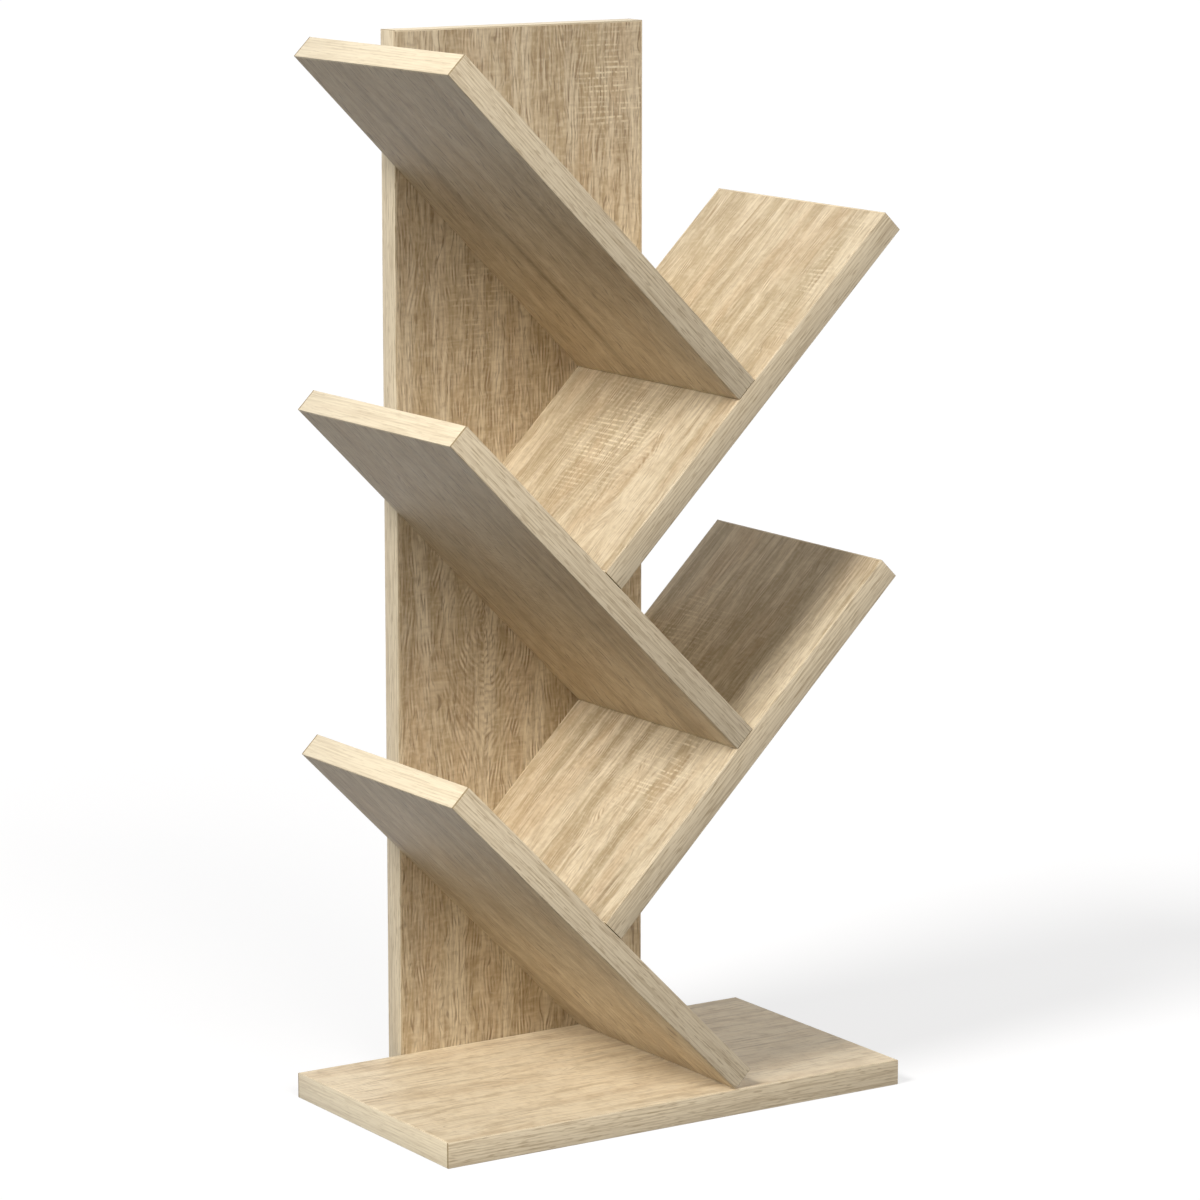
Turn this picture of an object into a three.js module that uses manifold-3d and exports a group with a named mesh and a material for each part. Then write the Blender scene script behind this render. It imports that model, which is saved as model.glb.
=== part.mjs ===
// A small bookcase shaped like a tree: a base board, a tall back board and five equal shelves.
// The shelves lean 45 degrees, to the left and to the right in turn, and each stands with its square
// lower end on the middle of the shelf below it. Screws through the back board hold them from behind.
// Millimetres, +Z up, front towards -Y, origin on the floor under the middle of the whole.

import * as THREE from "three";
import { mergeVertices } from "three/addons/utils/BufferGeometryUtils.js";
import Module from "manifold-3d";

const wasm = await Module();
wasm.setup();

// Boards
const boardThickness = 16;
const shelfLength = 286;
const baseDepth = 180;
const baseMargin = 5; // base that shows past the shelves at each side
const shelfSetback = 1; // front edges of the shelves behind the front edge of the base
const backWidth = 181;
const backRise = 1.5; // back board above the highest corner of the shelves

// Edge banding
const bandThickness = 1;
const bandRadius = 0.8; // rounded outer corners of each strip
const glueLine = 0.3; // between a strip and the edge that it covers

// Butt joints between the shelves
const jointGap = 0.3;

// Dowels in the butt joints, and between the base and the back board
const dowelDiameter = 8;
const dowelLength = 30;
const dowelChamfer = 1;
const dowelFaceDepth = 11; // hole in the face of the lower board
const dowelEndGap = 0.5; // left free at each end of the dowel
const dowelInset = 45; // from the front and rear edges of a shelf
const dowelClearance = 0.3; // all round

// Countersunk screws, driven into the rear edges through the back board
const screwLength = 50;
const screwHeadDiameter = 10;
const screwHeadHeight = 1; // straight rim of the head
const screwConeHeight = 2;
const screwNeckDiameter = 7;
const screwNeckLength = 13;
const screwThreadDiameter = 6.3;
const screwTipDiameter = 3.6;
const screwTipLength = 3;
const screwSocketWidth = 4; // across the flats of the hexagon
const screwSocketDepth = 2.4;
const screwRecess = 0.5; // head below the rear face of the back board
const screwRunOut = 2; // hole past the tip
const screwClearance = 0.3; // all round
const screwInset = 30; // along a shelf, from the ends of the stretch that the back board covers

// Fasteners of the base, from the side edges of the back board
const baseScrewInset = 25;
const baseDowelInset = 55;

// How finely round shapes are drawn
const roundSides = 12;
const cornerSegments = 2;
const hexagonSides = 6;
const overrun = 5; // of a cut past the face where it starts

// Colours and finishes
const oakLaminate = new THREE.MeshStandardMaterial({ color: 0xc8b291, roughness: 0.55, metalness: 0 });
const oakBanding = new THREE.MeshStandardMaterial({ color: 0xd3bf9f, roughness: 0.5, metalness: 0 });
const zincSteel = new THREE.MeshStandardMaterial({ color: 0xb8bcc0, roughness: 0.35, metalness: 1 });
const beech = new THREE.MeshStandardMaterial({ color: 0xd9b98c, roughness: 0.8, metalness: 0 });

// What follows from the sizes above
const shelfTilt = Math.PI / 4;
const shelfDepth = baseDepth - shelfSetback;
const wholeDepth = baseDepth + boardThickness;
const frontY = -wholeDepth / 2;
const backFaceY = frontY + baseDepth; // front face of the back board
const rearY = wholeDepth / 2;
const shelfStep = boardThickness / 2 + jointGap + shelfLength / 2; // centre to centre, square to a shelf
const shelfReach = (shelfLength + boardThickness) / 2 * Math.SQRT1_2; // centre to outer corner, level and upright
const shelfShift = shelfStep * Math.sin(shelfTilt) / 2; // centre of a shelf, left or right of the middle
const treeHalfWidth = shelfShift + shelfReach;
const baseWidth = 2 * (treeHalfWidth + baseMargin);
const cornerLoss = bandRadius * (Math.SQRT2 - 1); // a rounded corner stands this much short of a sharp one
const firstShelfZ = boardThickness + jointGap - cornerLoss + shelfReach;

// A closed solid from a geometry, for cutting
function solidOf(geometry) {
  const bare = geometry.clone();
  bare.deleteAttribute("normal");
  bare.deleteAttribute("uv");
  const merged = mergeVertices(bare);
  const vertProperties = new Float32Array(merged.attributes.position.array);
  const triVerts = new Uint32Array(merged.index.array);
  return new wasm.Manifold(new wasm.Mesh({ numProp: 3, vertProperties, triVerts }));
}

// A geometry from a cut solid
function geometryOf(solid) {
  const mesh = solid.getMesh();
  const geometry = new THREE.BufferGeometry();
  geometry.setAttribute("position", new THREE.BufferAttribute(new Float32Array(mesh.vertProperties), 3));
  geometry.setIndex(new THREE.BufferAttribute(new Uint32Array(mesh.triVerts), 1));
  const faceted = geometry.toNonIndexed();
  faceted.computeVertexNormals();
  return faceted;
}

function cut(geometry, cutters) {
  let solid = solidOf(geometry);
  for (const cutter of cutters) solid = solid.subtract(solidOf(cutter));
  return geometryOf(solid);
}

function addMesh(parent, name, geometry, material) {
  const mesh = new THREE.Mesh(geometry, material);
  mesh.name = name;
  parent.add(mesh);
  return mesh;
}

// A strip of banding along X, its rounded outer side towards +Y
function bandGeometry(length) {
  const half = boardThickness / 2;
  const inner = half - bandRadius;
  const outer = bandThickness - bandRadius;
  const section = new THREE.Shape();
  section.moveTo(-half, 0);
  section.lineTo(half, 0);
  section.lineTo(half, outer);
  section.absarc(inner, outer, bandRadius, 0, Math.PI / 2, false);
  section.lineTo(-inner, bandThickness);
  section.absarc(-inner, outer, bandRadius, Math.PI / 2, Math.PI, false);
  section.closePath();
  const strip = new THREE.ExtrudeGeometry(section, {
    depth: length,
    bevelEnabled: false,
    curveSegments: cornerSegments,
  });
  strip.translate(0, 0, -length / 2);
  strip.rotateY(Math.PI / 2);
  return strip;
}

// Boards: each has a frame with X along its length, Y across it and Z through its thickness
function makeBoard(name, coreName, length, width, sides, ends) {
  return { name, coreName, length, width, sides, ends, frame: new THREE.Group(), cutters: [] };
}

function buildBoard(board) {
  const { name, coreName, length, width, frame, cutters } = board;
  const edge = bandThickness + glueLine;
  const core = new THREE.BoxGeometry(length - 2 * edge, width - 2 * edge, boardThickness);
  addMesh(frame, coreName, cut(core, cutters), oakLaminate);
  board.sides.forEach((side, index) => {
    const strip = bandGeometry(length).translate(0, width / 2 - bandThickness, 0);
    if (index === 0) strip.rotateZ(Math.PI);
    addMesh(frame, `${name}_${side}_band`, cut(strip, cutters), oakBanding);
  });
  board.ends.forEach((end, index) => {
    const strip = bandGeometry(width - 2 * edge).translate(0, length / 2 - bandThickness, 0);
    strip.rotateZ(index === 0 ? Math.PI / 2 : -Math.PI / 2);
    addMesh(frame, `${name}_${end}_band`, cut(strip, cutters), oakBanding);
  });
}

// Base board: length from left to right
const base = makeBoard("base", "base_board", baseWidth, baseDepth, ["front", "rear"], ["left", "right"]);
base.frame.position.set(0, frontY + baseDepth / 2, boardThickness / 2);

// Shelves, from the lowest up. A shelf's lean is 1 where its upper end is on the left, -1 on the right
const shelfNames = [
  "left_bottom_shelf",
  "right_lower_shelf",
  "left_middle_shelf",
  "right_upper_shelf",
  "left_top_shelf",
];
const shelves = shelfNames.map((name, index) => {
  const lean = name.startsWith("left") ? 1 : -1;
  const ends = lean > 0 ? ["upper", "lower"] : ["lower", "upper"];
  const shelf = makeBoard(name, name, shelfLength, shelfDepth, ["front", "rear"], ends);
  const z = firstShelfZ + index * shelfStep * Math.cos(shelfTilt);
  shelf.frame.position.set(-lean * shelfShift, backFaceY - shelfDepth / 2, z);
  shelf.frame.rotation.y = lean * shelfTilt;
  shelf.lean = lean;
  return shelf;
});

// Back board: behind the base and down to the floor, its length upright
const topShelf = shelves[shelves.length - 1];
const backHeight = topShelf.frame.position.z + shelfReach + backRise;
const back = makeBoard("back", "back_board", backHeight, backWidth, ["left", "right"], ["bottom", "top"]);
back.frame.position.set(0, backFaceY + boardThickness / 2, backHeight / 2);
const up = new THREE.Vector3(0, 0, 1);
const right = new THREE.Vector3(1, 0, 0);
const rearwards = new THREE.Vector3(0, 1, 0);
back.frame.quaternion.setFromRotationMatrix(new THREE.Matrix4().makeBasis(up, right, rearwards));

const bookcase = new THREE.Group();
const boards = [base, ...shelves, back];
boards.forEach((board) => bookcase.add(board.frame));
bookcase.updateMatrixWorld(true);

// A fastener in the whole's frame, and its hole in each board that it joins
function addFastener(name, geometry, hole, placed, joined, material) {
  const mesh = addMesh(bookcase, name, geometry, material);
  placed.decompose(mesh.position, mesh.quaternion, mesh.scale);
  joined.forEach((board) => {
    const toBoard = board.frame.matrixWorld.clone().invert().multiply(placed);
    board.cutters.push(hole.clone().applyMatrix4(toBoard));
  });
}

// Screws: along Y, the head towards +Y with its top at zero
function screwOutline(growth, lead, tail) {
  const coneEnd = -screwHeadHeight - screwConeHeight;
  const neckEnd = coneEnd - screwNeckLength;
  return [
    new THREE.Vector2(0, -screwLength - tail),
    new THREE.Vector2(screwTipDiameter / 2 + growth, -screwLength - tail),
    new THREE.Vector2(screwThreadDiameter / 2 + growth, -screwLength + screwTipLength - tail),
    new THREE.Vector2(screwThreadDiameter / 2 + growth, neckEnd),
    new THREE.Vector2(screwNeckDiameter / 2 + growth, neckEnd),
    new THREE.Vector2(screwNeckDiameter / 2 + growth, coneEnd),
    new THREE.Vector2(screwHeadDiameter / 2 + growth, -screwHeadHeight),
    new THREE.Vector2(screwHeadDiameter / 2 + growth, lead),
    new THREE.Vector2(0, lead),
  ];
}

const socketCorner = screwSocketWidth / 2 / Math.cos(Math.PI / hexagonSides);
const socketHeight = screwSocketDepth + overrun;
const socket = new THREE.CylinderGeometry(socketCorner, socketCorner, socketHeight, hexagonSides);
socket.translate(0, overrun - socketHeight / 2, 0);
const screwGeometry = cut(new THREE.LatheGeometry(screwOutline(0, 0, 0), roundSides), [socket]);
const screwHole = new THREE.LatheGeometry(screwOutline(screwClearance, overrun, screwRunOut), roundSides);

function addScrew(name, x, z, board) {
  const placed = new THREE.Matrix4().makeTranslation(x, rearY - screwRecess, z);
  addFastener(name, screwGeometry, screwHole, placed, [back, board], zincSteel);
}

// Dowels: along X, with the joint at zero and the short side towards -X
const dowelNear = dowelEndGap - dowelFaceDepth;
const dowelRadius = dowelDiameter / 2;
const dowelOutline = [
  new THREE.Vector2(0, dowelNear),
  new THREE.Vector2(dowelRadius - dowelChamfer, dowelNear),
  new THREE.Vector2(dowelRadius, dowelNear + dowelChamfer),
  new THREE.Vector2(dowelRadius, dowelNear + dowelLength - dowelChamfer),
  new THREE.Vector2(dowelRadius - dowelChamfer, dowelNear + dowelLength),
  new THREE.Vector2(0, dowelNear + dowelLength),
];
const dowelGeometry = new THREE.LatheGeometry(dowelOutline, roundSides).rotateZ(-Math.PI / 2);
const dowelHoleLength = dowelLength + 2 * dowelEndGap;
const dowelHoleRadius = dowelRadius + dowelClearance;
const dowelHole = new THREE.CylinderGeometry(dowelHoleRadius, dowelHoleRadius, dowelHoleLength, roundSides)
  .rotateZ(-Math.PI / 2)
  .translate(dowelHoleLength / 2 - dowelFaceDepth, 0, 0);

function addDowel(name, placed, joined) {
  addFastener(name, dowelGeometry, dowelHole, placed, joined, beech);
}

// Screws and dowels of the shelves. The lower end of a shelf is at lean times half its length
shelves.forEach((shelf, index) => {
  const { x, z } = shelf.frame.position;
  const lowerX = x + shelf.lean * shelfLength / 2 * Math.cos(shelfTilt);
  const lowerZ = z - shelfLength / 2 * Math.sin(shelfTilt);
  const covered = (shelf.lean * lowerX + backWidth / 2) / Math.cos(shelfTilt);
  const stations = { lower: screwInset, upper: covered - screwInset };
  for (const [place, distance] of Object.entries(stations)) {
    const screwX = lowerX - shelf.lean * distance * Math.cos(shelfTilt);
    const screwZ = lowerZ + distance * Math.sin(shelfTilt);
    addScrew(`${shelf.name}_${place}_screw`, screwX, screwZ, shelf);
  }
  if (index === 0) return;
  const sideways = shelfDepth / 2 - dowelInset;
  for (const [place, y] of Object.entries({ front: -sideways, rear: sideways })) {
    const end = shelf.lean * (shelfLength / 2 + jointGap / 2);
    const inShelf = new THREE.Matrix4().makeTranslation(end, y, 0);
    if (shelf.lean > 0) inShelf.multiply(new THREE.Matrix4().makeRotationZ(Math.PI));
    const placed = shelf.frame.matrixWorld.clone().multiply(inShelf);
    addDowel(`${shelf.name}_${place}_dowel`, placed, [shelf, shelves[index - 1]]);
  }
});

// Screws and dowels between the base and the back board
for (const [place, way] of Object.entries({ left: -1, right: 1 })) {
  const screwX = way * (backWidth / 2 - baseScrewInset);
  addScrew(`base_${place}_screw`, screwX, boardThickness / 2, base);
  const dowelX = way * (backWidth / 2 - baseDowelInset);
  const placed = new THREE.Matrix4()
    .makeTranslation(dowelX, backFaceY, boardThickness / 2)
    .multiply(new THREE.Matrix4().makeRotationZ(-Math.PI / 2));
  addDowel(`base_${place}_dowel`, placed, [base, back]);
}

boards.forEach(buildBoard);

export default bookcase;
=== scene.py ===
# Tree shaped bookcase in light sawn oak decor: the finishes and the fine shapes, round the fixed frame.
# Blender works in metres. Sizes in the dictionaries are millimetres where no other unit is noted.
import math

import bpy
from mathutils import Matrix, Vector


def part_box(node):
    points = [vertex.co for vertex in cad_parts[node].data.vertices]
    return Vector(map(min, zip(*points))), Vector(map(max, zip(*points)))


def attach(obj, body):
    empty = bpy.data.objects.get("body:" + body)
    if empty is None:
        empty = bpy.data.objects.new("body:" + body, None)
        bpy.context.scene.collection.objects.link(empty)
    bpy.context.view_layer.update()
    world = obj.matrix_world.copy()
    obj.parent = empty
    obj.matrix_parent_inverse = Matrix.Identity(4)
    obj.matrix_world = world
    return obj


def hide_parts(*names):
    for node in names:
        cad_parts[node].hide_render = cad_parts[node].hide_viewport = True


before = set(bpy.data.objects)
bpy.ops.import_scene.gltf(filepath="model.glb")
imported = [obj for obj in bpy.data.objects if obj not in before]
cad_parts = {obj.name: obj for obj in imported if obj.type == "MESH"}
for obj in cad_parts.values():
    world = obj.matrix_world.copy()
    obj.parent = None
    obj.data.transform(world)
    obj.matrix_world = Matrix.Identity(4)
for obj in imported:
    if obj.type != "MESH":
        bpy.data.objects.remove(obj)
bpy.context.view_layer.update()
mm = 0.001
parallel = 0.99  # an edge whose direction has this much of an axis runs along it


def srgb(code):
    # a web colour as linear light, with full alpha
    parts = [int(code[i:i + 2], 16) / 255 for i in (1, 3, 5)]
    linear = [p / 12.92 if p <= 0.04045 else ((p + 0.055) / 1.055) ** 2.4 for p in parts]
    return (*linear, 1)


def addNode(tree, kind, settings, links=None):
    # settings hold the node's own properties and the values of its sockets, links the sockets that it reads
    node = tree.nodes.new(kind)
    for key, value in settings.items():
        if isinstance(key, str) and hasattr(node, key):
            setattr(node, key, value)
        else:
            node.inputs[key].default_value = value
    for key, source in (links or {}).items():
        tree.links.new(source, node.inputs[key])
    return node


def newMaterial(name):
    material = bpy.data.materials.new(name)
    material.use_nodes = True
    material.node_tree.nodes.clear()
    return material, material.node_tree


def pickAlone(piece):
    bpy.ops.object.select_all(action="DESELECT")
    piece.select_set(True)
    bpy.context.view_layer.objects.active = piece


def selectEdges(piece, wanted):
    # leaves the piece in edit mode with the wanted edges selected, by their middle and direction
    bpy.ops.object.mode_set(mode="EDIT")
    bpy.ops.mesh.select_mode(type="EDGE")
    bpy.ops.mesh.select_all(action="DESELECT")
    bpy.ops.object.mode_set(mode="OBJECT")
    points = [v.co for v in piece.data.vertices]
    for edge in piece.data.edges:
        start, end = (points[i] for i in edge.vertices)
        edge.select = wanted((start + end) / 2, (end - start).normalized())
    bpy.ops.object.mode_set(mode="EDIT")


def applyAll(piece):
    pickAlone(piece)
    bpy.ops.object.transform_apply(location=True, rotation=True, scale=True)


def carve(piece, cutter):
    pickAlone(piece)
    change = piece.modifiers.new("carve", "BOOLEAN")
    change.operation = "DIFFERENCE"
    change.solver = "EXACT"
    change.object = cutter
    change.material_mode = "TRANSFER"
    bpy.ops.object.modifier_apply(modifier=change.name)


def smoothByAngle(piece, degrees):
    pickAlone(piece)
    bpy.ops.object.shade_smooth_by_angle(angle=math.radians(degrees))


def copyTo(model, name, place):
    # a copy with a mesh of its own, moved to its place in the mesh
    piece = model.copy()
    piece.data = model.data.copy()
    piece.name = name
    bpy.context.scene.collection.objects.link(piece)
    piece.data.transform(place)
    return piece


def handOver(piece, node):
    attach(piece, "root")
    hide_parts(node)


# Boards: each has a frame of its own, X along its grain, Y across it and Z through its thickness
slope = math.sqrt(0.5)
flat = ((1, 0, 0), (0, 1, 0), (0, 0, 1))
upright = ((0, 0, 1), (1, 0, 0), (0, 1, 0))
leansLeft = ((slope, 0, -slope), (0, 1, 0), (slope, 0, slope))
leansRight = ((slope, 0, slope), (0, 1, 0), (-slope, 0, slope))


# Materials. Patterns are noise: (size along, across and through the grain in millimetres, detail,
# roughness). Shades go over one another: (pattern, level where it starts, level where it is full,
# strength, colour)
noiseReach = (0.3, 0.7)  # nearly all of a noise lies between these levels
parallelLines = 0.93  # anisotropy of the line patterns; at 1 the lines run dead straight


def grainSpace(tree, axes, centre=Vector()):
    # millimetres from a centre, with X along the grain
    turn = Matrix(axes)
    place = addNode(tree, "ShaderNodeTexCoord", {})
    return addNode(tree, "ShaderNodeMapping", {
        "Location": turn @ centre / -mm,
        "Rotation": turn.to_euler(),
        "Scale": (1 / mm, 1 / mm, 1 / mm),
    }, {"Vector": place.outputs["Object"]}).outputs[0]


def addPatterns(tree, space, patterns):
    marks = {}
    for name, (size, detail, roughness) in patterns.items():
        stretched = addNode(tree, "ShaderNodeVectorMath", {
            "operation": "MULTIPLY", 1: [1 / length for length in size],
        }, {0: space})
        noise = addNode(tree, "ShaderNodeTexNoise", {
            "Scale": 1, "Detail": detail, "Roughness": roughness,
        }, {"Vector": stretched.outputs[0]})
        marks[name] = noise.outputs["Fac"]
    return marks


def addSway(tree, space, size):
    # slow noise, from about -0.3 to 0.3 on each axis
    stretched = addNode(tree, "ShaderNodeVectorMath", {
        "operation": "MULTIPLY", 1: [1 / length for length in size],
    }, {0: space})
    noise = addNode(tree, "ShaderNodeTexNoise", {"Scale": 1, "Detail": 1}, {"Vector": stretched.outputs[0]})
    return addNode(tree, "ShaderNodeVectorMath", {"operation": "SUBTRACT", 1: (0.5, 0.5, 0.5)}, {
        0: noise.outputs["Color"],
    }).outputs[0]


def addSwing(tree, space, swing, start):
    # an angle that swings slowly about its start
    parts = addNode(tree, "ShaderNodeSeparateXYZ", {}, {0: addSway(tree, space, swing["size"])})
    return addNode(tree, "ShaderNodeMath", {
        "operation": "MULTIPLY_ADD", 1: swing["reach"], 2: start,
    }, {0: parts.outputs[0]}).outputs[0]


def addLines(tree, space, lines, gapSide, angle):
    # wavy parallel lines that fade and fork as fibres do, a gap apart on one side of their cell
    stretched = addNode(tree, "ShaderNodeVectorMath", {
        "operation": "MULTIPLY", 1: [1 / length for length in lines["cell"]] + [0],
    }, {0: space})
    return addNode(tree, "ShaderNodeTexGabor", {
        "Scale": 1, "Frequency": lines["cell"][gapSide] / lines["gap"], "Anisotropy": parallelLines,
    }, {"Vector": stretched.outputs[0], "Orientation": angle}).outputs["Value"]


def addSpot(tree, space, along, across, halfLength, halfWidth):
    # how far a place is from a spot's middle, in half lengths and half widths, and the spot's soft mask
    near = addNode(tree, "ShaderNodeVectorMath", {
        "operation": "MULTIPLY_ADD", 1: (1 / halfLength, 1 / halfWidth, 0),
        2: (-along / halfLength, -across / halfWidth, 0),
    }, {0: space}).outputs[0]
    far = addNode(tree, "ShaderNodeVectorMath", {"operation": "DOT_PRODUCT"}, {0: near, 1: near})
    fade = addNode(tree, "ShaderNodeMath", {"operation": "POWER", 0: 1 / math.e}, {1: far.outputs[1]})
    return near, fade.outputs[0]


def addSpots(tree, space, spots):
    # all the spots of one kind in one mask, each with its own strength
    links = {}
    for *shape, strength in spots:
        links[0] = addSpot(tree, space, *shape)[1]
        links[2] = addNode(tree, "ShaderNodeMath", {
            "operation": "MULTIPLY_ADD", 1: strength, 2: 0,
        }, links).outputs[0]
    return links[2]


def layShades(tree, marks, ground, shades):
    # each shade goes over the last where its pattern lies between two levels
    links = {}
    for pattern, low, high, strength, code in shades:
        links[0] = addNode(tree, "ShaderNodeMapRange", {
            "interpolation_type": "SMOOTHSTEP", "From Min": low, "From Max": high, "To Max": strength,
        }, {"Value": marks[pattern]}).outputs[0]
        links[6] = addNode(tree, "ShaderNodeMix", {
            "data_type": "RGBA", 6: srgb(ground), 7: srgb(code),
        }, links).outputs[2]
    return links[6]


# Sawn oak decor: melamine paper on chipboard, pressed against a lightly textured plate. The eye sees pale
# sand coloured wood with soft growth bands, thin wavy fibres along the grain and pale saw marks across it.
# Cells and sizes are along and across the grain, and reach is in millimetres, or in radians for a swing
oak = {
    "paleBand": "#e9dcc1",
    "warmBand": "#cdb796",
    "darkBand": "#af9a79",
    "streak": "#867252",
    "fibreDark": "#947b5e",
    "fibrePale": "#efe3ca",
    "pore": "#7b634b",
    "saw": "#f0e4c9",
    "roughness": 0.5,
    "ior": 1.5,
    "relief": 0.06,  # depth of the pressed fibres
    "press": 0.6,  # how clearly they catch the light
    "veinHeight": 0.6,  # as a share of a fibre's
    "otherFace": (333, 127, 0),  # how far from the lower face's place in the decor the upper face's is
    "drift": {"size": (150, 45, 60), "reach": 22},
    "meander": {"size": (30, 14, 60), "reach": 9},
    "swing": {"size": (38, 13, 60), "reach": 1.5},
    "sawSwing": {"size": (40, 40, 60), "reach": 0.5},
    "eyeRing": (0.15, 0.65),  # levels of an eye's mask from where fibres turn to where they ring it
    "raised": (0.3, 0.6),  # levels of the flecks from where no saw mark shows to where all of it does
    "sawMark": (0.46, 0.68),  # levels of the saw lines from a mark's edge to its middle
    "vein": {"cell": (28, 13), "gap": 4.6},
    "fibre": {"cell": (13, 7), "gap": 2.3},
    "sawLines": {"cell": (8, 30), "gap": 3.3},
    "drifting": {
        "band": ((200, 12, 40), 2, 0.5),
        "warmth": ((120, 24, 60), 1, 0.5),
        "dark": ((80, 7, 40), 2, 0.5),
        "line": ((55, 2.6, 40), 3, 0.6),
    },
    "meandering": {
        "mottle": ((14, 8, 40), 2, 0.5),
        "fleck": ((7, 2.4, 20), 2, 0.55),
        "ripple": ((2.6, 6, 20), 1, 0.5),
        "pore": ((12, 0.9, 20), 1, 0.5),  # real ones are 0.3 mm wide, too fine to show
    },
    "shades": [
        ("band", 0.42, 0.62, 0.7, "paleBand"),
        ("warmth", 0.5, 0.66, 0.5, "warmBand"),
        ("dark", 0.54, 0.7, 0.55, "darkBand"),
        ("line", 0.5, 0.32, 0.25, "fibreDark"),
        ("line", 0.52, 0.7, 0.15, "fibrePale"),
        ("mottle", 0.5, 0.3, 0.28, "darkBand"),
        ("mottle", 0.5, 0.7, 0.28, "fibrePale"),
        ("streak", 0, 1, 1, "streak"),
        ("fleck", 0.5, 0.3, 0.6, "fibreDark"),
        ("fleck", 0.5, 0.7, 0.6, "fibrePale"),
        ("ripple", 0.5, 0.3, 0.36, "fibreDark"),
        ("ripple", 0.5, 0.7, 0.4, "fibrePale"),
        ("vein", 0.5, 0.28, 0.6, "fibreDark"),
        ("vein", 0.52, 0.72, 0.55, "fibrePale"),
        ("fibre", 0.5, 0.28, 0.75, "fibreDark"),
        ("fibre", 0.52, 0.72, 0.75, "fibrePale"),
        ("pore", 0.58, 0.72, 1, "pore"),
        ("saw", 0, 1, 1, "saw"),
    ],
}


def bowRoundEyes(tree, grain, angle, eyes):
    # fibres part before an eye of the board, ring it and close again behind it
    turning, ringing = oak["eyeRing"]
    for *shape, bow in eyes:
        near, fade = addSpot(tree, grain, *shape)
        parts = addNode(tree, "ShaderNodeSeparateXYZ", {}, {0: near})
        bearing = addNode(tree, "ShaderNodeMath", {"operation": "ARCTAN2"}, {
            0: parts.outputs[1], 1: parts.outputs[0],
        })
        folded = addNode(tree, "ShaderNodeMath", {"operation": "FLOORED_MODULO", 1: math.pi}, {
            0: bearing.outputs[0],
        })
        turned = addNode(tree, "ShaderNodeMath", {"operation": "SUBTRACT", 1: math.pi / 2}, {
            0: folded.outputs[0],
        })
        share = addNode(tree, "ShaderNodeMapRange", {
            "interpolation_type": "SMOOTHSTEP", "From Min": turning, "From Max": ringing, "To Max": bow,
        }, {"Value": fade})
        angle = addNode(tree, "ShaderNodeMath", {"operation": "MULTIPLY_ADD"}, {
            0: turned.outputs[0], 1: share.outputs[0], 2: angle,
        }).outputs[0]
    return angle


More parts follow.
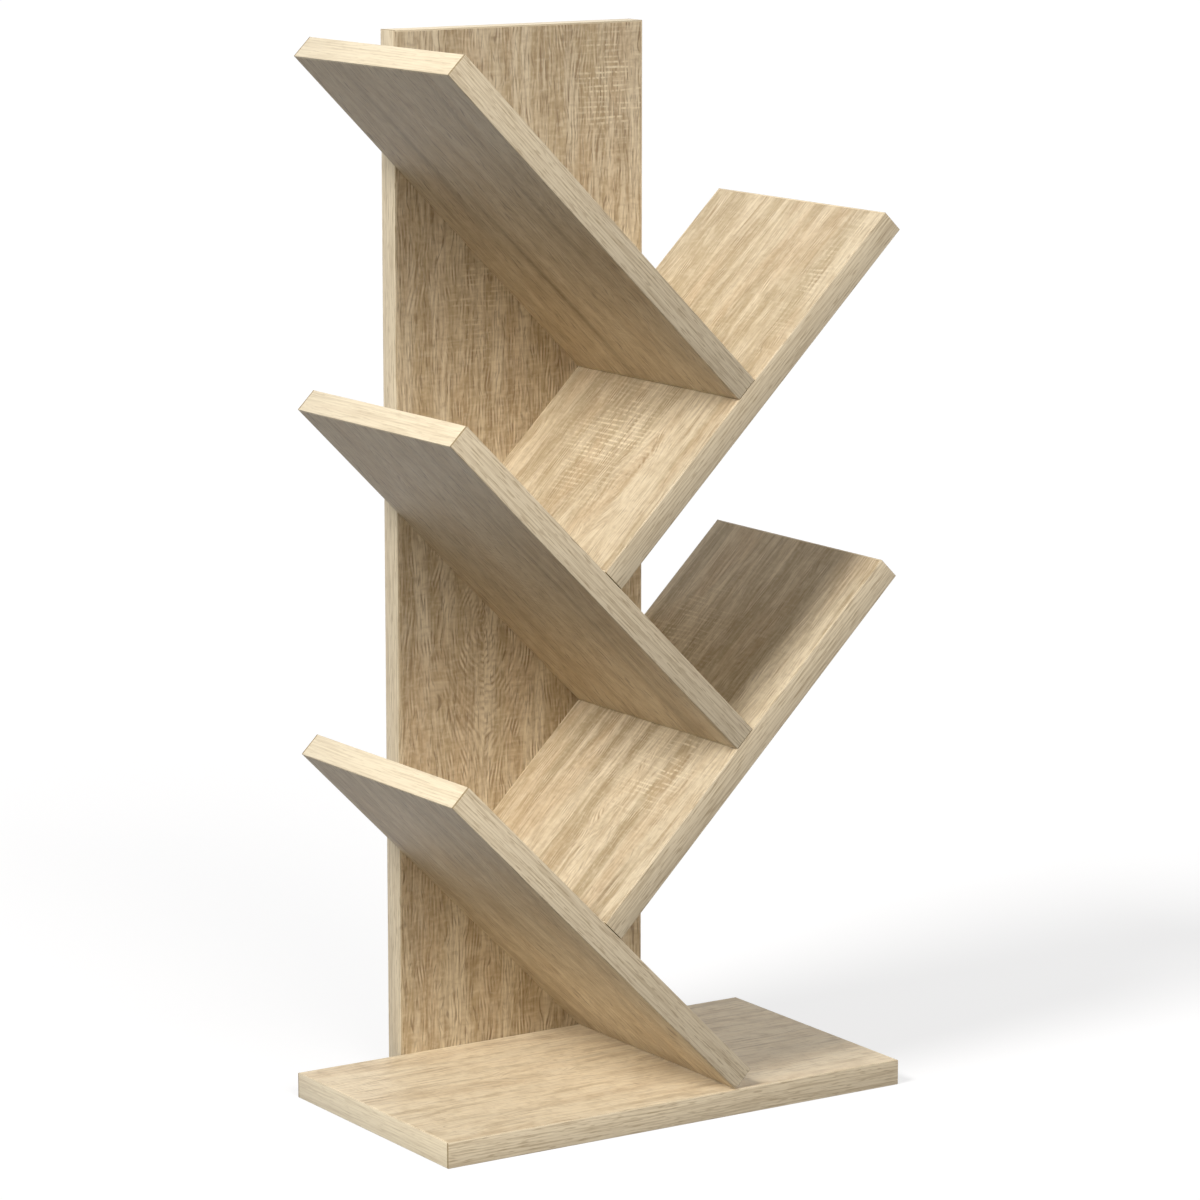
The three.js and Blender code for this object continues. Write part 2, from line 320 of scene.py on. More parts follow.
def makeOakFacing(name, board, seed):
    material, tree = newMaterial(name)
    grain = grainSpace(tree, board["axes"], board["centre"])
    # the two faces of a board come from two places of the decor
    depth = addNode(tree, "ShaderNodeSeparateXYZ", {}, {0: grain}).outputs[2]
    onTop = addNode(tree, "ShaderNodeMath", {"operation": "GREATER_THAN", 1: 0}, {0: depth}).outputs[0]
    seeded = addNode(tree, "ShaderNodeVectorMath", {"operation": "ADD", 1: seed}, {0: grain})
    place = addNode(tree, "ShaderNodeVectorMath", {"operation": "MULTIPLY_ADD", 1: oak["otherFace"]}, {
        0: onTop, 2: seeded.outputs[0],
    }).outputs[0]
    # bands and streaks drift across the grain, and short marks meander within them
    drift = addSway(tree, place, oak["drift"]["size"])
    drifted, bent = (addNode(tree, "ShaderNodeVectorMath", {
        "operation": "MULTIPLY_ADD", 1: (0, oak["drift"]["reach"], 0),
    }, {0: drift, 2: space}).outputs[0] for space in (place, grain))
    wavy = addNode(tree, "ShaderNodeVectorMath", {
        "operation": "MULTIPLY_ADD", 1: (0, oak["meander"]["reach"], 0),
    }, {0: addSway(tree, place, oak["meander"]["size"]), 2: drifted}).outputs[0]
    marks = {
        **addPatterns(tree, drifted, oak["drifting"]),
        **addPatterns(tree, wavy, oak["meandering"]),
        "streak": addSpots(tree, bent, board["streaks"]),
    }
    low, high = oak["raised"]
    raised = addNode(tree, "ShaderNodeMapRange", {
        "interpolation_type": "SMOOTHSTEP", "From Min": low, "From Max": high,
    }, {"Value": marks["fleck"]})
    angle = bowRoundEyes(tree, grain, addSwing(tree, place, oak["swing"], math.pi / 2), board["eyes"])
    for key in ("vein", "fibre"):
        marks[key] = addLines(tree, place, oak[key], 1, angle)
    under, top = board["fibres"]
    clear = addNode(tree, "ShaderNodeMapRange", {"To Min": under, "To Max": top}, {
        "Value": onTop,
    }).outputs[0]
    for key in ("vein", "fibre", "fleck", "ripple"):
        marks[key] = addNode(tree, "ShaderNodeMix", {"data_type": "FLOAT", 2: 0.5}, {
            0: clear, 3: marks[key],
        }).outputs[0]
    # saw marks cross the grain, show only in patches, and mostly on the raised fibres
    sawAngle = addSwing(tree, place, oak["sawSwing"], 0)
    low, high = oak["sawMark"]
    sawLines = addNode(tree, "ShaderNodeMapRange", {
        "interpolation_type": "SMOOTHSTEP", "From Min": low, "From Max": high,
    }, {"Value": addLines(tree, place, oak["sawLines"], 0, sawAngle)})
    dotted = addNode(tree, "ShaderNodeMath", {"operation": "MULTIPLY"}, {
        0: sawLines.outputs[0], 1: raised.outputs[0],
    })
    marks["saw"] = addNode(tree, "ShaderNodeMath", {"operation": "MULTIPLY"}, {
        0: addSpots(tree, grain, board["sawPatches"]), 1: dotted.outputs[0],
    }).outputs[0]
    share = {**dict.fromkeys(oak["drifting"], board["bands"]), "pore": board["pores"]}
    colour = layShades(tree, marks, board["ground"], [
        (pattern, low, high, strength * share.get(pattern, 1), oak[tone])
        for pattern, low, high, strength, tone in oak["shades"]
    ])
    height = addNode(tree, "ShaderNodeMath", {"operation": "MULTIPLY_ADD", 1: oak["veinHeight"]}, {
        0: marks["vein"], 2: marks["fibre"],
    })
    relief = addNode(tree, "ShaderNodeBump", {
        "Strength": oak["press"], "Distance": oak["relief"] * mm,
    }, {"Height": height.outputs[0]})
    shader = addNode(tree, "ShaderNodeBsdfPrincipled", {
        "Roughness": oak["roughness"], "IOR": oak["ior"],
    }, {"Base Color": colour, "Normal": relief.outputs[0]})
    addNode(tree, "ShaderNodeOutputMaterial", {}, {"Surface": shader.outputs[0]})
    return material


# Oak banding: ABS strip printed with straight oak grain. A shade paler than the facing, with fine olive
# brown lines along the strip and a few short dashes, fainter on the strips across a board's ends
strip = {
    "ground": "#ecdfc4",
    "pale": "#f6ebd0",
    "line": "#a08a65",
    "roughness": 0.45,
    "ior": 1.52,
    "relief": 0.03,  # depth of the pressed fibres
    "press": 0.5,  # how clearly they catch the light
    "wander": {"size": (90, 12, 9), "reach": 1.2},
    "swing": {"size": (30, 9, 9), "reach": 0.4},
    "fibre": {"cell": (30, 5), "gap": 2},
    "fineFibre": {"cell": (8, 2.4), "gap": 1},
    "patterns": {
        "pale": ((60, 5, 6), 1, 0.5),
        "straight": ((50, 1.3, 6), 2, 0.5),
        "dash": ((10, 0.9, 6), 1, 0.5),  # printed pores, wide enough to show
    },
    "sides": [
        ("pale", 0.4, 0.6, 0.2, "pale"),
        ("straight", 0.54, 0.34, 0.36, "line"),
        ("fibre", 0.54, 0.3, 0.25, "line"),
        ("dash", 0.44, 0.3, 0.5, "line"),
        ("fineFibre", 0.5, 0.3, 0.15, "line"),
    ],
    "ends": [
        ("pale", 0.3, 0.5, 0.75, "pale"),
        ("straight", 0.54, 0.34, 0.22, "line"),
        ("fibre", 0.54, 0.3, 0.14, "line"),
        ("dash", 0.44, 0.3, 0.2, "line"),
        ("fineFibre", 0.5, 0.3, 0.08, "line"),
    ],
}


def makeOakBanding(name, kind, board, axes, seed):
    # X runs along the strip and Y across its face
    material, tree = newMaterial(name)
    place = addNode(tree, "ShaderNodeVectorMath", {"operation": "ADD", 1: seed}, {
        0: grainSpace(tree, axes, board["centre"]),
    }).outputs[0]
    course = addNode(tree, "ShaderNodeVectorMath", {
        "operation": "MULTIPLY_ADD", 1: (0, strip["wander"]["reach"], 0),
    }, {0: addSway(tree, place, strip["wander"]["size"]), 2: place}).outputs[0]
    marks = addPatterns(tree, course, strip["patterns"])
    angle = addSwing(tree, place, strip["swing"], math.pi / 2)
    for key in ("fibre", "fineFibre"):
        marks[key] = addLines(tree, course, strip[key], 1, angle)
    colour = layShades(tree, marks, strip["ground"], [
        (pattern, low, high, strength, strip[tone]) for pattern, low, high, strength, tone in strip[kind]
    ])
    relief = addNode(tree, "ShaderNodeBump", {
        "Strength": strip["press"], "Distance": strip["relief"] * mm,
    }, {"Height": marks["fibre"]})
    shader = addNode(tree, "ShaderNodeBsdfPrincipled", {
        "Roughness": strip["roughness"], "IOR": strip["ior"],
    }, {"Base Color": colour, "Normal": relief.outputs[0]})
    addNode(tree, "ShaderNodeOutputMaterial", {}, {"Surface": shader.outputs[0]})
    return material


# Hot melt glue line: the facing ends here and shows its brown paper and the glue, so the eye sees a thin
# dark line beside each strip
glue = {
    "ground": "#6d5237",
    "patterns": {"smear": ((6, 6, 6), 2, 0.5)},
    "shades": [("smear", 0.4, 0.65, 0.8, "#8f7350")],
    "roughness": ("smear", 0.52, 0.68),  # from and to
    "relief": ("smear", 0.3, 0.05),  # strength and depth
    "shader": {"IOR": 1.5},
}

# Scraped ABS body: the strip's coloured through plastic where a scraper has cut it, plain matt olive brown
# with faint draw lines
absBody = {
    "ground": "#a08d69",
    "patterns": {"draw": ((2.5, 2.5, 2.5), 2, 0.5)},
    "shades": [("draw", 0.4, 0.65, 0.6, "#8b7853")],
    "roughness": ("draw", 0.48, 0.62),
    "relief": ("draw", 0.3, 0.02),
    "shader": {"IOR": 1.52},
}

# Drilled chipboard: pressed pine chips, 2 to 4 mm long, in yellow to brown, torn rough by the drill
drilledCore = {
    "ground": "#b98e5d",
    "patterns": {
        "chip": ((2.2, 2.2, 2.2), 2, 0.5),
        "dark": ((3.1, 3.1, 3.1), 2, 0.5),
        "crumb": ((0.8, 0.8, 0.8), 2, 0.5),
    },
    "shades": [
        ("chip", 0.45, 0.55, 0.8, "#d3ad78"),
        ("dark", 0.56, 0.64, 0.8, "#7c5937"),
        ("crumb", 0.5, 0.66, 0.6, "#94704a"),
    ],
    "roughness": ("crumb", 0.84, 0.95),
    "relief": ("crumb", 0.8, 0.15),
    "shader": {"IOR": 1.45},
}

# Zinc plated steel: cold formed and plated in a drum, cool grey and fairly bright, with scuffs of half a
# millimetre all over
zincPlate = {
    "ground": "#c3c8cd",
    "patterns": {
        "cloud": ((3, 3, 3), 1, 0.5),
        "scuff": ((0.6, 0.6, 0.6), 3, 0.5),
    },
    "shades": [("cloud", 0.4, 0.65, 0.7, "#b2b8c2")],
    "roughness": ("scuff", 0.24, 0.42),
    "relief": ("scuff", 0.3, 0.02),
    "shader": {"Metallic": 1},
}

# Raw beech: turned and pressed, warm pale brown with short darker flecks, 2 mm long, along the grain
beech = {
    "ground": "#d8b48a",
    "patterns": {
        "tone": ((30, 2.5, 2.5), 1, 0.5),
        "fleck": ((2.4, 0.35, 0.35), 0, 0.5),
    },
    "shades": [
        ("tone", 0.4, 0.65, 0.8, "#c99f74"),
        ("fleck", 0.62, 0.72, 0.7, "#9c6e47"),
    ],
    "roughness": ("tone", 0.7, 0.8),
    "relief": ("fleck", 0.4, 0.05),
    "shader": {"IOR": 1.45},
}


def makeFinish(name, finish, axes=flat):
    material, tree = newMaterial(name)
    marks = addPatterns(tree, grainSpace(tree, axes), finish["patterns"])
    colour = layShades(tree, marks, finish["ground"], finish["shades"])
    low, high = noiseReach
    pattern, smooth, dull = finish["roughness"]
    roughness = addNode(tree, "ShaderNodeMapRange", {
        "From Min": low, "From Max": high, "To Min": smooth, "To Max": dull,
    }, {"Value": marks[pattern]})
    pattern, strength, depth = finish["relief"]
    relief = addNode(tree, "ShaderNodeBump", {"Strength": strength, "Distance": depth * mm}, {
        "Height": marks[pattern],
    })
    shader = addNode(tree, "ShaderNodeBsdfPrincipled", finish["shader"], {
        "Base Color": colour, "Roughness": roughness.outputs[0], "Normal": relief.outputs[0],
    })
    addNode(tree, "ShaderNodeOutputMaterial", {}, {"Surface": shader.outputs[0]})
    return material


glueLine = makeFinish("hotMeltGlueLine", glue)
bareAbs = makeFinish("scrapedAbsBody", absBody)
chipboard = makeFinish("drilledChipboard", drilledCore)
zincSteel = makeFinish("zincPlatedSteel", zincPlate)


# The boards

stock = {
    "thickness": 16,
    "glueLine": 0.3,
    "groove": 0.3,  # fine groove along the glue line, where the facing ends
    "smooth": 32,  # degrees between faces that are shaded as one
    "decorStep": (977, 431, 59),  # from one board's place in the decor to the next one's
}

# How each board's decor differs. Spots on the grain are (along, across, half length, half width, strength)
# from the board's middle: eyes turn the fibres, streaks are dark, and saw marks show in the saw patches.
# Fibres are as clear as the first number says on the lower or front face, and as the second on the other.
# Bands and pores are the strengths of the growth bands and of the fine dark pores. Some grounds are darker
# as painted shade, as said at each board
boards = {
    "base": {
        "core": "base_board", "axes": flat, "sides": ("front", "rear"), "ends": ("left", "right"),
        "ground": "#efe0c3", "fibres": (0.45, 0.34), "bands": 0.85, "pores": 0.26,
        "eyes": [(-40, 10, 40, 26, 0.8)],
        "streaks": [(8, 22, 24, 3, 0.35), (60, 50, 90, 6, 0.2)],
        "sawPatches": [(-145, 46, 28, 36, 0.6), (122, 16, 22, 24, 0.5), (100, -62, 26, 18, 0.45),
                       (0, 0, 200, 110, 0.15)],
    },
    "left_bottom_shelf": {
        "core": "left_bottom_shelf", "axes": leansLeft, "sides": ("front", "rear"),
        "ends": ("upper", "lower"),
        # ground: painted shade, darker than the other left shelves' grounds to stand for shade falling on
        # this lowest shelf
        "ground": "#c7b89d", "fibres": (0.32, 0.45), "bands": 0.7, "pores": 0.62,
        "eyes": [(60, 20, 50, 20, 0.8)],
        "streaks": [(-5, 15, 45, 14, 0.42), (-84, -35, 60, 9, 0.4), (0, 80, 200, 8, 0.3)],
        "sawPatches": [(91, -60, 34, 22, 0.3), (0, 0, 170, 110, 0.12)],
    },
    "right_lower_shelf": {
        "core": "right_lower_shelf", "axes": leansRight, "sides": ("front", "rear"),
        "ends": ("lower", "upper"),
        # ground: darker than the other boards', partly the board's own tone and partly painted shade for
        # the shade that falls on this top from above
        "ground": "#b3a384", "fibres": (0.4, 0.38), "bands": 1.1, "pores": 0.3,
        "eyes": [(-62, -14, 34, 20, 0.7)],
        "streaks": [(-48, 20, 42, 4, 0.4), (-38, 29, 36, 2.5, 0.35), (-122, -69, 24, 2.6, 0.7)],
        "sawPatches": [(-35, -42, 40, 32, 0.5), (66, 40, 40, 30, 0.4), (0, 0, 170, 110, 0.22)],
    },
    "left_middle_shelf": {
        "core": "left_middle_shelf", "axes": leansLeft, "sides": ("front", "rear"),
        "ends": ("upper", "lower"),
        "ground": "#d3c3a6", "fibres": (0.32, 0.45), "bands": 0.7, "pores": 0.62,
        "eyes": [(-70, 30, 60, 20, 0.8)],
        "streaks": [(43, 46, 110, 7, 0.4), (0, -50, 170, 5, 0.42), (121, -57, 25, 12, 0.4)],
        "sawPatches": [(3, -8, 95, 28, 0.35), (0, 0, 170, 110, 0.12)],
    },
    "right_upper_shelf": {
        "core": "right_upper_shelf", "axes": leansRight, "sides": ("front", "rear"),
        "ends": ("lower", "upper"),
        # ground: darker than the other boards', partly the board's own tone and partly painted shade for
        # the shade that falls on this top from above
        "ground": "#bdad8e", "fibres": (0.4, 0.38), "bands": 1.1, "pores": 0.3,
        "eyes": [(-85, -40, 40, 24, 0.9)],
        "streaks": [(-30, 29, 40, 4, 0.3), (-20, 60, 60, 16, 0.2)],
        "sawPatches": [(-58, -2, 40, 44, 0.55), (90, -72, 50, 14, 0.4), (0, 0, 170, 110, 0.22)],
    },
    "left_top_shelf": {
        "core": "left_top_shelf", "axes": leansLeft, "sides": ("front", "rear"),
        "ends": ("upper", "lower"),
        "ground": "#d3c3a6", "fibres": (0.32, 0.45), "bands": 0.7, "pores": 0.62,
        "eyes": [(-72, -61, 70, 22, 1)],
        "streaks": [(60, 23, 85, 4, 0.5), (-64, 40, 80, 4, 0.45), (-15, -52, 45, 6, 0.55),
                    (-107, -51, 35, 5, 0.5), (0, 28, 220, 20, 0.22)],
        "sawPatches": [(96, -10, 30, 20, 0.25), (0, 0, 170, 110, 0.12)],
    },
    "back": {
        "core": "back_board", "axes": upright, "sides": ("left", "right"), "ends": ("bottom", "top"),
        "ground": "#c6b391", "fibres": (0.54, 0.54), "bands": 1.25, "pores": 0.6,
        "eyes": [(-44, -28, 84, 46, 1)],
        "streaks": [(-60, 40, 150, 6, 0.2)],
        "sawPatches": [(163, -32, 34, 26, 0.4), (292, 70, 34, 26, 0.9), (-250, 20, 40, 24, 0.25),
                       (0, 0, 400, 110, 0.28)],
    },
}


def measureBoard(board):
    # place and size from the frame; a leaning board's box holds its length and thickness together
    low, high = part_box(board["core"])
    board["centre"] = (low + high) / 2
    spans = high - low
    along, across = (Vector(board["axes"][i]) for i in (0, 1))
    thickness = stock["thickness"] * mm
    if abs(along.x) > 0 and abs(along.z) > 0:
        board["coreLength"] = spans.x / slope - thickness
    else:
        board["coreLength"] = abs(spans.dot(along))
    board["coreWidth"] = abs(spans.dot(across))


# Edge banding: ABS strip, glued on, cut to length and trimmed. The trimming breaks its long edges to a
# small even radius, leaves it a hair below the faces of the board, and bares the plain brown body
banding = {
    "thickness": 1,
    "sunk": 0.1,
    "radius": 0.4,
    "roundSteps": 3,
    "endRadius": 0.2,  # at the cut ends of a strip
    "endSteps": 2,
    "bared": (0.9, 0.999),  # faces that turn this much to the board's faces show the body
    "baredEnd": 0.3,  # and so do faces that turn this much to a strip's ends
}


def addBlock(name, size):
    bpy.ops.object.select_all(action="DESELECT")
    bpy.ops.mesh.primitive_cube_add(size=1, location=(0, 0, 0), scale=size)
    piece = bpy.context.object
    piece.name = name
    applyAll(piece)
    return piece


def makePanel(name, length, width):
    # the faced board, out to its banding, with a fine groove all round both faces
    thickness = stock["thickness"] * mm
    piece = addBlock(name, (length, width, thickness))
    selectEdges(piece, lambda middle, way: abs(middle.z) > thickness / 4)
    bpy.ops.mesh.bevel(offset=stock["groove"] * mm, segments=1, affect="EDGES", material=1)
    bpy.ops.object.mode_set(mode="OBJECT")
    return piece


def makeStrip(name, length):
    # banding along X, its outer face towards +Y, rounded over along both long edges
    tall = (stock["thickness"] - 2 * banding["sunk"]) * mm
    deep = banding["thickness"] * mm
    piece = addBlock(name, (length, deep, tall))
    selectEdges(piece, lambda middle, way: abs(way.x) > parallel and middle.y > 0)
    bpy.ops.mesh.bevel(offset=banding["radius"] * mm, segments=banding["roundSteps"], affect="EDGES")
    bpy.ops.object.mode_set(mode="OBJECT")
    near = banding["endRadius"] * mm
    selectEdges(piece, lambda middle, way: abs(middle.x) > length / 2 - near and middle.y > near - deep / 2)
    bpy.ops.mesh.bevel(offset=banding["endRadius"] * mm, segments=banding["endSteps"], affect="EDGES")
    bpy.ops.object.mode_set(mode="OBJECT")
    # the body shows at the cut ends and where the rounding meets the board
    least, most = banding["bared"]
    for face in piece.data.polygons:
        isTrimmed = least < abs(face.normal.z) < most
        face.material_index = int(isTrimmed or abs(face.normal.x) > banding["baredEnd"])
    return piece


def placeBoardPiece(piece, board, turn, move):
    # from the piece's own frame into the board's, and from there into the room
    toRoom = Matrix(board["axes"]).transposed().to_4x4()
    toRoom.translation = board["centre"]
    piece.data.transform(toRoom @ Matrix.Translation(move) @ Matrix.Rotation(turn, 4, "Z"))


def makeBoard(name, board, number):
    measureBoard(board)
    gap = stock["glueLine"] * mm
    edge = banding["thickness"] * mm
    length = board["coreLength"] + 2 * gap
    width = board["coreWidth"] + 2 * gap
    seed = [step * number for step in stock["decorStep"]]
    along, across, through = board["axes"]
    facing = makeOakFacing(f"sawnOakMelamine_{name}", board, seed)
    sideAxes = (along, through, [-a for a in across])
    endAxes = (across, through, along)
    sideBand = makeOakBanding(f"oakAbsBanding_{name}_sides", "sides", board, sideAxes, seed)
    endBand = makeOakBanding(f"oakAbsBanding_{name}_ends", "ends", board, endAxes, seed)
    panel = makePanel(board["core"] + "_panel", length, width)
    for material in (facing, glueLine):
        panel.data.materials.append(material)
    placeBoardPiece(panel, board, 0, (0, 0, 0))
    made = {board["core"]: (panel, "oak_laminate")}
    for side, way in zip(board["sides"], (-1, 1)):
        node = f"{name}_{side}_band"
        piece = makeStrip(node + "_strip", length + 2 * edge)
        for material in (sideBand, bareAbs):
            piece.data.materials.append(material)
        placeBoardPiece(piece, board, 0 if way > 0 else math.pi, (0, way * (width + edge) / 2, 0))
        made[node] = (piece, "oak_banding")
    for end, way in zip(board["ends"], (-1, 1)):
        node = f"{name}_{end}_band"
        piece = makeStrip(node + "_strip", width)
        for material in (endBand, bareAbs):
            piece.data.materials.append(material)
        placeBoardPiece(piece, board, -way * math.pi / 2, (way * (length + edge) / 2, 0, 0))
        made[node] = (piece, "oak_banding")
    return made


boardPieces = {}
for number, (name, board) in enumerate(boards.items(), 1):
    boardPieces.update(makeBoard(name, board, number))
    print("board made:", name)


# The fasteners

# Screws: one-piece connectors for chipboard, countersunk, turned from steel wire with a rolled thread.
# Head, neck, thread, root and tip are diameters
screw = {
    "length": 50,
    "head": 10,
    "rim": 1,
    "cone": 2,
    "neck": 7,
    "neckLength": 13,
    "thread": 6.3,
    "root": 4.6,
    "pitch": 3,
    "runOut": 0.5,  # the thread ends this many turns before the neck
    "ridge": 0.7,  # half the width of the thread's foot
    "tip": 3.6,
    "tipLength": 3,
    "socket": 4,  # across flats
    "socketDepth": 2.4,
    "socketPoint": 0.7,  # the drilled cone, in height and in radius
    "rounding": 0.25,
    "roundSteps": 3,
    "sides": 40,
    "threadSteps": 20,
    "smooth": 35,  # degrees
}

hole = {
    "clearance": 0.3,
    "past": 2,  # beyond the screw's tip
    "lead": 1,  # the cutter stands out of the board by this
    "sides": 48,
}

# Dowels: beech, fluted and chamfered
dowel = {
    "diameter": 8,
    "length": 30,
    "chamfer": 1,
    "flute": 0.3,  # depth
    "sides": 40,
    "smooth": 20,  # degrees
    "endGap": 0.5,
    "clearance": 0.3,
}


def turnShape(name, outline, sides):
    # a round solid about Z, from (radius, height) pairs: a disc, extruded and resized ring by ring
    radius, height = outline[0]
    bpy.ops.object.select_all(action="DESELECT")
    bpy.ops.mesh.primitive_circle_add(
        vertices=sides, radius=radius * mm, fill_type="NGON", location=(0, 0, height * mm),
    )
    piece = bpy.context.object
    piece.name = name
    applyAll(piece)
    bpy.ops.object.mode_set(mode="EDIT")
    bpy.ops.mesh.select_all(action="SELECT")
    for nextRadius, nextHeight in outline[1:]:
        step = (0, 0, (nextHeight - height) * mm)
        bpy.ops.mesh.extrude_region_move(TRANSFORM_OT_translate={"value": step})
        share = nextRadius / radius
        bpy.ops.transform.resize(value=(share, share, 1), center_override=(0, 0, nextHeight * mm))
        radius, height = nextRadius, nextHeight
    bpy.ops.mesh.select_all(action="SELECT")
    bpy.ops.mesh.normals_make_consistent(inside=False)
    bpy.ops.object.mode_set(mode="OBJECT")
    return piece


def screwOutline(growth, lead, past, thread):
    coneEnd = -screw["rim"] - screw["cone"]
    neckEnd = coneEnd - screw["neckLength"]
    return [
        (screw["head"] / 2 + growth, lead),
        (screw["head"] / 2 + growth, -screw["rim"]),
        (screw["neck"] / 2 + growth, coneEnd),
        (screw["neck"] / 2 + growth, neckEnd),
        (thread / 2 + growth, neckEnd),
        (thread / 2 + growth, -screw["length"] + screw["tipLength"] - past),
        (screw["tip"] / 2 + growth, -screw["length"] - past),
    ]


def makeScrewModel():
    # along Z, the head's top at zero
    body = turnShape("screwModel", screwOutline(0, 0, 0, screw["root"]), screw["sides"])
    body.data.materials.append(zincSteel)
    # the rim of the head is slightly rounded
    head = screw["head"] / 2 * mm
    near = screw["rim"] * mm / 5
    selectEdges(body, lambda middle, way: middle.z > -near and abs(middle.xy.length - head) < near)
    bpy.ops.mesh.bevel(offset=screw["rounding"] * mm, segments=screw["roundSteps"], affect="EDGES")
    bpy.ops.object.mode_set(mode="OBJECT")
    # hexagon socket, with the drilled cone in its bottom
    corner = screw["socket"] / 2 / math.cos(math.pi / 6)
    depth = screw["socketDepth"]
    point = screw["socketPoint"]
    outline = [(corner, hole["lead"]), (corner, -depth), (point, -depth - point)]
    socket = turnShape("socketCutter", outline, 6)
    carve(body, socket)
    bpy.data.objects.remove(socket)
    # rolled thread: one ridge wound round the root
    start = -screw["length"] + screw["tipLength"]
    turns = (-screw["rim"] - screw["cone"] - screw["neckLength"] - start) / screw["pitch"] - screw["runOut"]
    bpy.ops.object.select_all(action="DESELECT")
    foot = (screw["root"] / 2 * mm, 0, start * mm)
    bpy.ops.mesh.primitive_circle_add(
        vertices=4, radius=mm, location=foot, rotation=(math.pi / 2, 0, 0),
    )
    ridge = bpy.context.object
    applyAll(ridge)
    bpy.ops.object.mode_set(mode="EDIT")
    bpy.ops.mesh.select_all(action="SELECT")
    bpy.ops.transform.resize(
        value=((screw["thread"] - screw["root"]) / 2, 1, screw["ridge"]), center_override=foot,
    )
    bpy.ops.object.mode_set(mode="OBJECT")
    wind = ridge.modifiers.new("wind", "SCREW")
    wind.axis = "Z"
    wind.angle = turns * 2 * math.pi
    wind.screw_offset = turns * screw["pitch"] * mm
    wind.steps = round(turns * screw["threadSteps"])
    wind.render_steps = wind.steps
    wind.use_merge_vertices = False
    pickAlone(ridge)
    bpy.ops.object.modifier_apply(modifier=wind.name)
    bpy.ops.object.mode_set(mode="EDIT")
    bpy.ops.mesh.select_all(action="SELECT")
    bpy.ops.mesh.fill_holes(sides=4)
    bpy.ops.mesh.select_all(action="SELECT")
    bpy.ops.mesh.normals_make_consistent(inside=False)
    bpy.ops.object.mode_set(mode="OBJECT")
    ridge.data.materials.append(zincSteel)
    pickAlone(body)
    ridge.select_set(True)
    bpy.ops.object.join()
    smoothByAngle(body, screw["smooth"])
    return body


def makeDowelModel():
    # along Z, its middle at zero, with straight flutes pressed into its side
    half = dowel["length"] / 2
    radius = dowel["diameter"] / 2
    inner = radius - dowel["chamfer"]
    shoulder = half - dowel["chamfer"]
    outline = [(inner, -half), (radius, -shoulder), (radius, shoulder), (inner, half)]
    model = turnShape("dowelModel", outline, dowel["sides"])
    step = 2 * math.pi / dowel["sides"]
    selectEdges(model, lambda middle, way: (
        abs(way.z) > parallel and round(math.atan2(middle.y, middle.x) / step) % 2 == 0
    ))
    share = 1 - dowel["flute"] / radius
    bpy.ops.transform.resize(value=(share, share, 1), center_override=(0, 0, 0))
    bpy.ops.object.mode_set(mode="OBJECT")
    smoothByAngle(model, dowel["smooth"])
    return model


screwNodes = [node for node in sorted(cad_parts) if node.endswith("_screw")]
dowelNodes = [node for node in sorted(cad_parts) if node.endswith("_dowel")]

rearwards = Matrix.Rotation(-math.pi / 2, 4, "X")  # a screw's head looks to the rear
screwModel = makeScrewModel()
dowelModel = makeDowelModel()
holeOutline = screwOutline(hole["clearance"], hole["lead"], hole["past"], screw["thread"])
holeModel = turnShape("screwHole", holeOutline, hole["sides"])
dowelHoleRadius = dowel["diameter"] / 2 + dowel["clearance"]
dowelHoleHalf = dowel["length"] / 2 + dowel["endGap"]
dowelHoleOutline = [(dowelHoleRadius, -dowelHoleHalf), (dowelHoleRadius, dowelHoleHalf)]
dowelHoleModel = turnShape("dowelHole", dowelHoleOutline, hole["sides"])
for model in (holeModel, dowelHoleModel):
    model.data.materials.append(chipboard)

fixings = {}
cutters = []
for node in screwNodes:
    low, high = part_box(node)
    place = Matrix.Translation(((low.x + high.x) / 2, high.y, (low.z + high.z) / 2)) @ rearwards
    fixings[node] = (copyTo(screwModel, node + "_steel", place), "zinc_steel")
    cutters.append(copyTo(holeModel, "cutter", place))

# a dowel lies along the shelf that it ends, or from front to rear in the base
beechOf = {}
for node in dowelNodes:
    low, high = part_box(node)
    owner = node.rsplit("_", 2)[0]
    axes = [Vector(axis) for axis in boards[owner]["axes"]]
    along, beside = (axes[1], axes[0]) if owner == "base" else (axes[0], axes[1])
    if owner not in beechOf:
        beechOf[owner] = makeFinish(f"flutedBeech_{owner}", beech, (along, beside, along.cross(beside)))
    place = Matrix.Translation((low + high) / 2) @ along.to_track_quat("Z", "Y").to_matrix().to_4x4()
    piece = copyTo(dowelModel, node + "_beech", place)
    piece.data.materials.append(beechOf[owner])
    fixings[node] = (piece, "beech_dowel")
    cutters.append(copyTo(dowelHoleModel, "cutter", place))
print("fasteners made:", len(fixings))

pickAlone(cutters[0])
for cutter in cutters:
    cutter.select_set(True)
bpy.ops.object.join()
drill = cutters[0]
for node, (piece, slot) in boardPieces.items():
    if slot == "oak_laminate" or node.endswith(("_rear_band", "_lower_band")):
        carve(piece, drill)
for model in (screwModel, dowelModel, holeModel, dowelHoleModel, drill):
    bpy.data.objects.remove(model)
print("holes drilled")

for node, (piece, slot) in {**boardPieces, **fixings}.items():
    if slot in ("oak_laminate", "oak_banding"):
        smoothByAngle(piece, stock["smooth"])
    handOver(piece, node)
print("pieces handed over:", len(boardPieces) + len(fixings))


# Studio

# The camera stands where the photograph was taken from, left of the middle and a little above
camera = {
    "place": (-1.6003, -2.4743, 0.8561),  # metres
    "tilt": 79.523,  # degrees from straight down
    "turn": -32.984,  # degrees, towards +X
    "lens": 146.03,
    "sensor": 36,
}

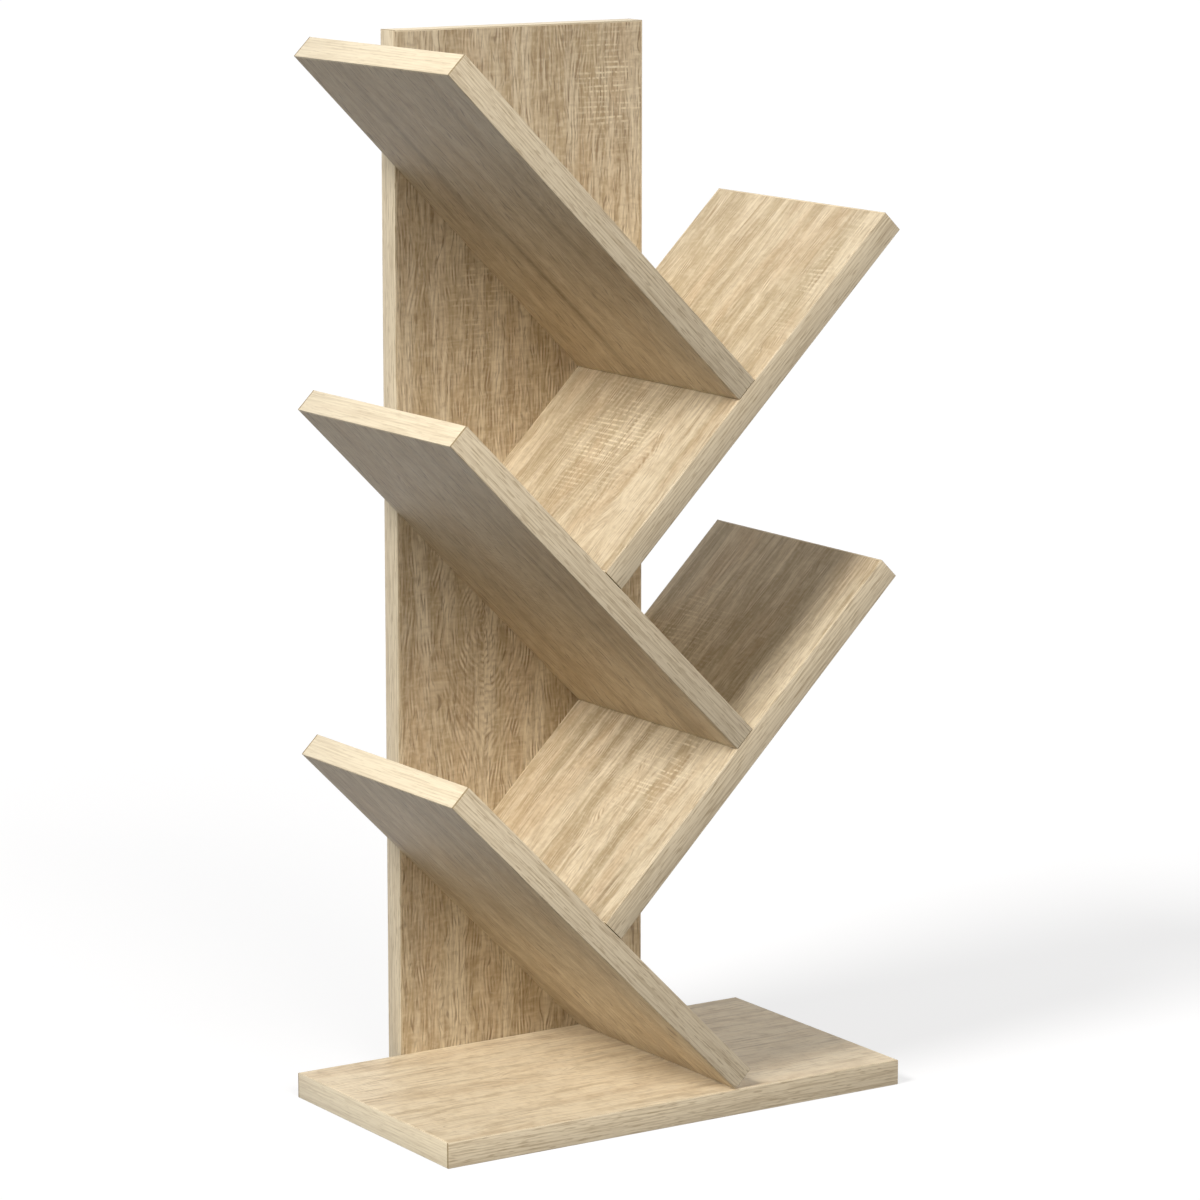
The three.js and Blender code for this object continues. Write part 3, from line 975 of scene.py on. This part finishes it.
# The main light comes from the left and above, a wide weaker one from the front. Directions are seen from
# the bookcase, widths are in degrees, and level 1 lights a face square to it as its colour is written
lights = {
    "keyLight": {"from": (-0.69, -0.14, 0.71), "width": 16, "level": 0.78, "colour": "#fffaf3"},
    "frontLight": {"from": (-0.10, -0.85, 0.52), "width": 30, "level": 0.4, "colour": "#fff6ec"},
}
room = {"colour": "#fdfbf8", "level": 0.235}

floor = {
    "side": 30,  # metres
    "seen": "#9b9da1",  # as the camera sees it
    "lift": 0.7,  # keeps the shadow pale
    "bounce": "#6a6a6b",  # as it lights the bookcase
}


def addCamera():
    data = bpy.data.cameras.new("photoCamera")
    data.lens = camera["lens"]
    data.sensor_width = camera["sensor"]
    item = bpy.data.objects.new("photoCamera", data)
    item.location = camera["place"]
    item.rotation_euler = (math.radians(camera["tilt"]), 0, math.radians(camera["turn"]))
    bpy.context.scene.collection.objects.link(item)
    bpy.context.scene.camera = item


def addLamp(name, light):
    data = bpy.data.lights.new(name, "SUN")
    data.angle = math.radians(light["width"])
    data.energy = math.pi * light["level"]
    data.color = srgb(light["colour"])[:3]
    item = bpy.data.objects.new(name, data)
    item.rotation_euler = Vector(light["from"]).to_track_quat("Z", "Y").to_euler()
    bpy.context.scene.collection.objects.link(item)


def seenDirectly(tree):
    # 1 for what the camera sees, itself or mirrored in metal or through glass
    path = addNode(tree, "ShaderNodeLightPath", {})
    first = addNode(tree, "ShaderNodeMath", {"operation": "MAXIMUM"}, {
        0: path.outputs["Is Camera Ray"], 1: path.outputs["Is Glossy Ray"],
    })
    return addNode(tree, "ShaderNodeMath", {"operation": "MAXIMUM"}, {
        0: first.outputs[0], 1: path.outputs["Is Transmission Ray"],
    }).outputs[0]


def addRoomLight():
    world = bpy.data.worlds.new("room")
    world.use_nodes = True
    tree = world.node_tree
    tree.nodes.clear()
    fill = addNode(tree, "ShaderNodeBackground", {"Color": srgb(room["colour"]), "Strength": room["level"]})
    white = addNode(tree, "ShaderNodeBackground", {"Color": (1, 1, 1, 1), "Strength": 1})
    both = addNode(tree, "ShaderNodeMixShader", {}, {
        0: seenDirectly(tree), 1: fill.outputs[0], 2: white.outputs[0],
    })
    addNode(tree, "ShaderNodeOutputWorld", {}, {"Surface": both.outputs[0]})
    bpy.context.scene.world = world


def addFloor():
    bpy.ops.object.select_all(action="DESELECT")
    bpy.ops.mesh.primitive_plane_add(size=floor["side"], location=(0, 0, 0))
    plane = bpy.context.object
    plane.name = "studioFloor"
    material, tree = newMaterial("mattPaintedFloor")
    seen = addNode(tree, "ShaderNodeBsdfDiffuse", {"Color": srgb(floor["seen"])})
    lift = addNode(tree, "ShaderNodeEmission", {"Color": (1, 1, 1, 1), "Strength": floor["lift"]})
    bright = addNode(tree, "ShaderNodeAddShader", {}, {0: seen.outputs[0], 1: lift.outputs[0]})
    bounce = addNode(tree, "ShaderNodeBsdfDiffuse", {"Color": srgb(floor["bounce"])})
    both = addNode(tree, "ShaderNodeMixShader", {}, {
        0: seenDirectly(tree), 1: bounce.outputs[0], 2: bright.outputs[0],
    })
    addNode(tree, "ShaderNodeOutputMaterial", {}, {"Surface": both.outputs[0]})
    plane.data.materials.append(material)


addCamera()
for name, light in lights.items():
    addLamp(name, light)
addRoomLight()
addFloor()
bpy.context.scene.view_settings.view_transform = "Standard"
print("studio ready")
